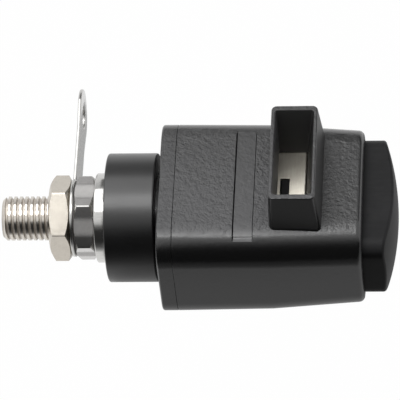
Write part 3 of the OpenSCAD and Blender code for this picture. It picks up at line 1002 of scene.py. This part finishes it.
class TERMINAL_OT_washer(Operator):
    """Builds the plain washer with rounded edges"""

    bl_idname = "terminal.washer"
    bl_label = "Washer"

    edge_r = 0.2 * MM

    def execute(self, context):
        edge = rounding(self.edge_r, 5)
        bore = [(X_COLLAR, CLEAR_R), (X_WASHER, CLEAR_R)]
        washer = rounded_tube("washer_ring", X_WASHER, X_COLLAR, WASHER_R, (edge, edge), bore)
        tone = context.scene.terminal_colours.washer
        material = plated_metal(
            "washer_nickel", tone, roughness=0.14, wave_depth=0.003 * MM, stretch=(0.2, 1.0, 1.0))
        dress(washer, material, "washer", "terminal")
        return {"FINISHED"}


class TERMINAL_OT_nuts(Operator):
    """Builds the panel nut and the outer nut"""

    bl_idname = "terminal.nuts"
    bl_label = "Hex nuts"

    bore_r = 2.781 * MM
    sink_r = 3.08 * MM
    sink_depth = 0.4 * MM
    face_share = 0.95
    chamfer = math.radians(30)
    satin_reach = (5.02 * MM, 5.25 * MM)
    per_side = 20

    def execute(self, context):
        sizes = context.scene.terminal_sizes
        colours = context.scene.terminal_colours
        polished = plated_metal(
            "panel_nut_nickel", colours.polished_nickel, roughness=0.10, wave_depth=0.006 * MM, satin=self.satin_reach)
        satin = plated_metal("lug_nut_nickel", colours.satin_nickel, roughness=0.24, wave_depth=0.010 * MM)
        panel = self.nut("panel_hex_nut", sizes, X_PANEL_NUT, X_WASHER, sizes.panel_nut_turn)
        dress(panel, polished, "panel_nut", "terminal", smooth=28)
        outer = self.nut("lug_hex_nut", sizes, X_LUG_NUT, X_LUG, sizes.lug_nut_turn)
        dress(outer, satin, "lug_nut", "terminal", smooth=28)
        return {"FINISHED"}

    def reach(self, sizes, turn):
        """Radius of the hexagon with rounded corners, turn being measured from a corner."""
        twelfth = TURN / 12
        off = abs((turn + twelfth) % (2 * twelfth) - twelfth)
        flat, round_r = sizes.nut_af / 2, sizes.nut_edge_r
        centre = (flat - round_r) / math.cos(twelfth)
        beside = centre * math.sin(off)
        side = flat / math.cos(twelfth - off)
        if beside < round_r:
            side = min(side, centre * math.cos(off) + math.sqrt(round_r ** 2 - beside ** 2))
        return side

    def nut(self, name, sizes, x0, x1, turn):
        """Hex nut with both ends chamfered and a countersunk bore."""
        face_r = self.face_share * sizes.nut_af / 2
        slope = math.tan(self.chamfer)
        rings = [[] for _ in range(8)]
        for side in range(6):
            for k in range(self.per_side):
                # Points are closest at the corners
                share = (1 - math.cos(math.pi * k / self.per_side)) / 2
                place = TURN * (side + share) / 6
                r = self.reach(sizes, place)
                drop = max(0.0, r - face_r) * slope
                y, z = math.cos(place + turn), math.sin(place + turn)
                line = [
                    (x0 + self.sink_depth, self.bore_r), (x0, self.sink_r), (x0, face_r), (x0 + drop, r),
                    (x1 - drop, r), (x1, face_r), (x1, self.sink_r), (x1 - self.sink_depth, self.bore_r),
                ]
                for ring, (x, radius) in zip(rings, line):
                    ring.append((x, radius * y, radius * z))
        return skin(name, rings, closed=True)


class TERMINAL_OT_lug(Operator):
    """Builds the stamped solder lug with its ring, neck and eye"""

    bl_idname = "terminal.lug"
    bl_label = "Solder lug"

    ring_r = 5.2 * MM
    eye_r = 3.8 * MM
    eye_hole_r = 1.55 * MM
    reach = 16.7 * MM
    neck_half = 2.9 * MM
    burr = 0.14 * MM
    weld = 1e-7

    def execute(self, context):
        sizes = context.scene.terminal_sizes
        flat = bpy.data.curves.new("lug_flat", "CURVE")
        flat.dimensions = "2D"
        flat.fill_mode = "BOTH"
        flat.extrude = (X_PANEL_NUT - X_LUG) / 2 - self.burr
        flat.bevel_depth = self.burr
        flat.offset = -self.burr
        flat.bevel_resolution = 2
        bore = self.bow(0.0, CLEAR_R, 0.0, TURN)
        eye_hole = self.bow(self.reach, self.eye_hole_r, 0.0, TURN)
        for points in (self.rim(), bore[:-1], eye_hole[:-1]):
            spline = flat.splines.new("POLY")
            spline.points.add(len(points) - 1)
            for point, (a, b) in zip(spline.points, points):
                point.co = (a, b, 0.0, 1.0)
            spline.use_cyclic_u = True
        drawn = link("lug_flat", flat)
        mesh = evaluated(drawn)
        bpy.data.objects.remove(drawn)
        upright = Matrix(((0, 0, 1, (X_LUG + X_PANEL_NUT) / 2), (1, 0, 0, 0), (0, 1, 0, 0), (0, 0, 0, 1)))
        mesh.transform(Matrix.Rotation(sizes.lug_turn, 4, "X") @ upright)
        clean(mesh, self.weld)
        lug = link("lug_sheet", mesh)
        tone = context.scene.terminal_colours.tin
        material = plated_metal(
            "lug_tin", tone, roughness=0.20, wave_depth=0.004 * MM, stretch=(1.0, 0.2, 1.0))
        dress(lug, material, "solder_lug", "terminal")
        return {"FINISHED"}

    @staticmethod
    def bow(centre, r, start, span, steps=64):
        """Points on part of a circle about a centre on the lug's middle line."""
        turns = [start + span * i / steps for i in range(steps + 1)]
        return [(centre + r * math.cos(t), r * math.sin(t)) for t in turns]

    def rim(self):
        """Outer line of the lug: round the eye, down the neck and round the ring."""
        neck_turn = math.asin(self.neck_half / self.ring_r)
        neck_end = self.reach - self.eye_r
        eye = self.bow(self.reach, self.eye_r, -QUARTER, math.pi, steps=32)
        ring = self.bow(0.0, self.ring_r, neck_turn, TURN - 2 * neck_turn)
        return [*eye, (neck_end, self.neck_half), *ring, (neck_end, -self.neck_half)]


class TERMINAL_OT_stage(Operator):
    """Sets up the floor, the light and the camera"""

    bl_idname = "terminal.stage"
    bl_label = "Stage"

    floor_z = -60 * MM
    floor_half = 3.0
    lamp_distance = 0.5
    softbox_span = (71, 95)
    softbox_along = (-0.24, 0.06)
    panel_span = (96, 132)
    panel_along = (-0.36, -0.02)
    floor_glow = 0.985
    # Name, angle and distance of the two edges, ends along the stud, brightness by angle
    card_table = (
        ("front_card", (-40, 0.062), (64, 0.5), (-0.6, 0.6), (
            (-40, 0.7), (-24, 0.12), (-8, 0.03), (22, 0.04), (33, 0.25), (40, 0.75), (50, 1.0), (64, 1.05))),
        ("shade_card", (20, 0.065), (63, 0.42), (-0.008, 0.6), (
            (20, 0.03), (35, 0.08), (45, 0.27), (55, 0.65), (63, 1.1))),
        ("back_card", (133, 0.5), (172, 0.5), (-0.6, -0.055), ((133, 0.58), (150, 0.75), (172, 1.0))),
        ("dark_card", (133, 0.5), (172, 0.5), (-0.055, 0.6), ((133, 0.44), (145, 0.16), (172, 0.16))),
        ("under_card", (-140, 0.07), (-10, 0.052), (-0.009, 0.5), (
            (-140, 0.52), (-36, 0.52), (-30, 0.42), (-24, 0.2), (-10, 0.1))),
    )

    def execute(self, context):
        scene = context.scene
        scene.view_settings.view_transform = "Standard"
        self.world(scene)
        self.floor(scene)
        for row in self.card_table:
            self.card(*row)
        studio = scene.terminal_studio
        self.lamp("softbox", studio.softbox, self.softbox_span, self.softbox_along)
        self.lamp("panel", studio.panel, self.panel_span, self.panel_along)
        self.camera(scene)
        return {"FINISHED"}

    @staticmethod
    def seen(tree):
        """One where a surface is seen straight, in a reflection or through something clear."""
        kinds = ("Is Camera Ray", "Is Glossy Ray", "Is Transmission Ray")
        rays = [tree.node("ShaderNodeLightPath", output=kind) for kind in kinds]
        return tree.node("ShaderNodeClamp", inputs={0: sum(rays)})

    def world(self, scene):
        """White round the stage where it is seen, and a dim fill light."""
        scene.world = bpy.data.worlds.new("studio")
        tree = ShaderTree(scene.world)
        fill = scene.terminal_studio.fill
        light = tree.blend(self.seen(tree), (fill, fill, fill, 1), (1, 1, 1, 1))
        background = tree.node("ShaderNodeBackground", inputs={0: light, 1: 1.0})
        tree.node("ShaderNodeOutputWorld", inputs={0: background})

    def floor(self, scene):
        """Pale floor below the part, white where it is seen, which keeps a soft shadow."""
        half, z = self.floor_half, self.floor_z
        corners = [(-half, -half, z), (half, -half, z), (half, half, z), (-half, half, z)]
        plane = new_object("floor", corners, [(0, 1, 2, 3)])
        material, tree = new_material("floor_paint")
        tone = scene.terminal_colours.floor
        speckled = tree.blend(tree.noise(4 * MM), shade(tone, 0.98), shade(tone, 1.02))
        paint = tree.node("ShaderNodeBsdfDiffuse", inputs={0: speckled})
        glow = tree.node("ShaderNodeEmission", inputs={0: (1, 1, 1, 1), 1: 1.0})
        mixed = tree.node("ShaderNodeMixShader", inputs={0: self.floor_glow * self.seen(tree), 1: paint, 2: glow})
        tree.node("ShaderNodeOutputMaterial", inputs={0: mixed})
        plane.data.materials.append(material)

    def card(self, name, first, last, along, levels):
        """Graded card beside the part, which only reflections show."""
        (y0, z0), (y1, z1) = self.around(*first), self.around(*last)
        start, end = along
        card = new_object(name, [(start, y0, z0), (end, y0, z0), (end, y1, z1), (start, y1, z1)], [(0, 1, 2, 3)])
        stops = []
        for degrees, level in levels:
            y, z = self.around(degrees, 1)
            share = (z0 * y - y0 * z) / ((y1 - y0) * z - (z1 - z0) * y)
            stops.append((share, (level, level, level, 1)))
        material, tree = new_material(name)
        inside = tree.node("ShaderNodeTexCoord", output="Generated")
        axis = "Z" if z1 - z0 > y1 - y0 else "Y"
        glow = tree.node("ShaderNodeValToRGB", {"stops": stops}, {0: tree.part(inside, axis)})
        dark = {"Base Color": (0, 0, 0, 1), "Specular IOR Level": 0.0}
        tree.surface({**dark, "Emission Color": glow, "Emission Strength": 1.0})
        card.data.materials.append(material)
        card.visible_camera = False
        card.visible_shadow = False

    @staticmethod
    def around(degrees, distance):
        """Place across the stud at an angle over the front horizon."""
        turn = math.radians(degrees)
        return -distance * math.cos(turn), distance * math.sin(turn)

    def lamp(self, name, radiance, span, along):
        """Soft lamp that faces the part, between two angles over the front horizon and two places along the stud."""
        middle = sum(span) / 2
        lamp = bpy.data.lights.new(name, "AREA")
        lamp.shape = "RECTANGLE"
        lamp.size = along[1] - along[0]
        lamp.size_y = 2 * self.lamp_distance * math.tan(math.radians(span[1] - span[0]) / 2)
        lamp.energy = math.pi * radiance * lamp.size * lamp.size_y
        holder = link(name, lamp)
        holder.location = (sum(along) / 2, *self.around(middle, self.lamp_distance))
        holder.rotation_euler = (QUARTER - math.radians(middle), 0, 0)
        holder.visible_camera = False

    @staticmethod
    def camera(scene):
        """Camera at the photograph's angle, with the stud nearly level."""
        studio = scene.terminal_studio
        lean = QUARTER - studio.elevation
        front = math.cos(studio.side)
        back = Vector((math.sin(studio.side), -front * math.sin(lean), front * math.cos(lean)))
        along = Vector((1, 0, 0))
        level = (along - back * along.dot(back)).normalized()
        rise = back.cross(level)
        right = level * math.cos(studio.roll) - rise * math.sin(studio.roll)
        up = rise * math.cos(studio.roll) + level * math.sin(studio.roll)
        lens = bpy.data.cameras.new("camera")
        lens.lens = studio.lens
        lens.sensor_width = 36
        lens.clip_start = 0.01
        holder = link("camera", lens)
        place = along * studio.aim_along + up * studio.aim_up + back * studio.distance
        turn = Matrix((right, up, back)).transposed().to_4x4()
        holder.matrix_world = Matrix.Translation(place) @ turn
        scene.camera = holder


PIECES = (
    TERMINAL_OT_housing, TERMINAL_OT_base_plate, TERMINAL_OT_button, TERMINAL_OT_stirrup, TERMINAL_OT_spring,
    TERMINAL_OT_jaw, TERMINAL_OT_stud, TERMINAL_OT_collar, TERMINAL_OT_washer, TERMINAL_OT_nuts, TERMINAL_OT_lug,
    TERMINAL_OT_stage,
)
GROUPS = {
    "terminal_sizes": TerminalSizes,
    "terminal_colours": TerminalColours,
    "terminal_studio": TerminalStudio,
}


class TERMINAL_PT_panel(Panel):
    """Lists the pieces and their values"""

    bl_idname = "TERMINAL_PT_panel"
    bl_label = "Clamp terminal"
    bl_space_type = "VIEW_3D"
    bl_region_type = "UI"
    bl_category = "Terminal"

    def draw(self, context):
        layout = self.layout
        for operator in PIECES:
            layout.operator(operator.bl_idname)
        for name, group in GROUPS.items():
            box = layout.box()
            for prop in group.__annotations__:
                box.prop(getattr(context.scene, name), prop)


def register():
    """Registers the classes and their values."""
    for group in GROUPS.values():
        bpy.utils.register_class(group)
    for name, group in GROUPS.items():
        setattr(bpy.types.Scene, name, PointerProperty(type=group))
    for cls in (*PIECES, TERMINAL_PT_panel):
        bpy.utils.register_class(cls)


def unregister():
    """Takes the classes and their values out again."""
    for cls in reversed((*PIECES, TERMINAL_PT_panel)):
        bpy.utils.unregister_class(cls)
    for name in GROUPS:
        delattr(bpy.types.Scene, name)
    for group in GROUPS.values():
        bpy.utils.unregister_class(group)


def main():
    """Builds every piece and the stage."""
    register()
    for operator in PIECES:
        section, name = operator.bl_idname.split(".")
        getattr(getattr(bpy.ops, section), name)()


if __name__ == "__main__":
    main()
